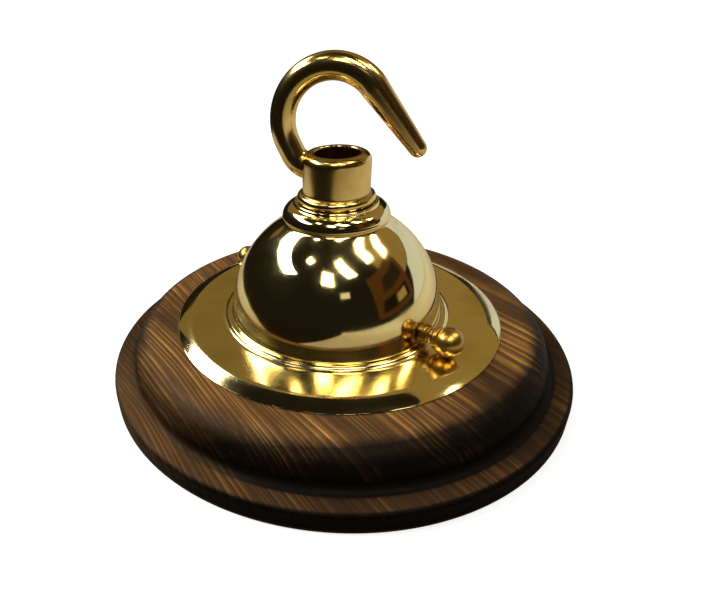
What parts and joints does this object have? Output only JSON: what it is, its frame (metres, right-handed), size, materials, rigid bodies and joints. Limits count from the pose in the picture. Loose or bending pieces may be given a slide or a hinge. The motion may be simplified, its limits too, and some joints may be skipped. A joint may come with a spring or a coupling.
{
  "type": "ceiling hook plate",
  "caption": "Turned wooden ceiling block carrying a domed brass cover with ball-headed thumb screws and a bored collar with a curved hook for hanging a light.",
  "frame": {"origin": "centre of the wooden block's flat back, the face that goes against the ceiling", "axes": "+Z along the common axis of block, cover and collar, away from the ceiling; the hook's tip points 11 degrees from +X towards -Y at rest"},
  "size_m": [0.15, 0.15, 0.097],
  "materials": {
    "polished_brass": "mirror polished and lacquered",
    "dark_stained_pine": "dark stain under satin wax",
    "zinc_plated_steel": "bright zinc plate"
  },
  "bodies": {
    "base": {"pattress_block": "dark_stained_pine", "fixing_strap": "zinc_plated_steel", "strap_screw_front": "zinc_plated_steel", "strap_screw_back": "zinc_plated_steel", "cover": "polished_brass", "flat_washer": "zinc_plated_steel", "spring_washer": "zinc_plated_steel"},
    "hook": {"hook_casting": "polished_brass", "hollow_nipple": "polished_brass", "lock_nut": "polished_brass"},
    "front_washer": {"thumb_washer_front": "polished_brass"},
    "front_screw": {"thumb_screw_front": "polished_brass"},
    "back_washer": {"thumb_washer_back": "polished_brass"},
    "back_screw": {"thumb_screw_back": "polished_brass"}
  },
  "joints": [
    {"name": "hook_turn", "type": "hinge", "parent": "base", "child": "hook", "pos_m": [0, 0, 0.0567], "axis": [0, 0, 1], "continuous": true},
    {"name": "front_screw_travel", "type": "slide", "parent": "base", "child": "front_washer", "axis": [0.766, -0.6428, 0], "range_m": [0, 0.0032]},
    {"name": "front_screw_turn", "type": "hinge", "parent": "front_washer", "child": "front_screw", "pos_m": [0, 0, 0.0244], "axis": [0.766, -0.6428, 0], "range_deg": [0, 1645.7]},
    {"name": "back_screw_travel", "type": "slide", "parent": "base", "child": "back_washer", "axis": [-0.766, 0.6428, 0], "range_m": [0, 0.0032]},
    {"name": "back_screw_turn", "type": "hinge", "parent": "back_washer", "child": "back_screw", "pos_m": [0, 0, 0.0244], "axis": [-0.766, 0.6428, 0], "range_deg": [0, 1645.7]}
  ],
  "couplings": [
    {"joint": "front_screw_turn", "follows": "front_screw_travel", "rad_per_m": 8976},
    {"joint": "back_screw_turn", "follows": "back_screw_travel", "rad_per_m": 8976}
  ]
}
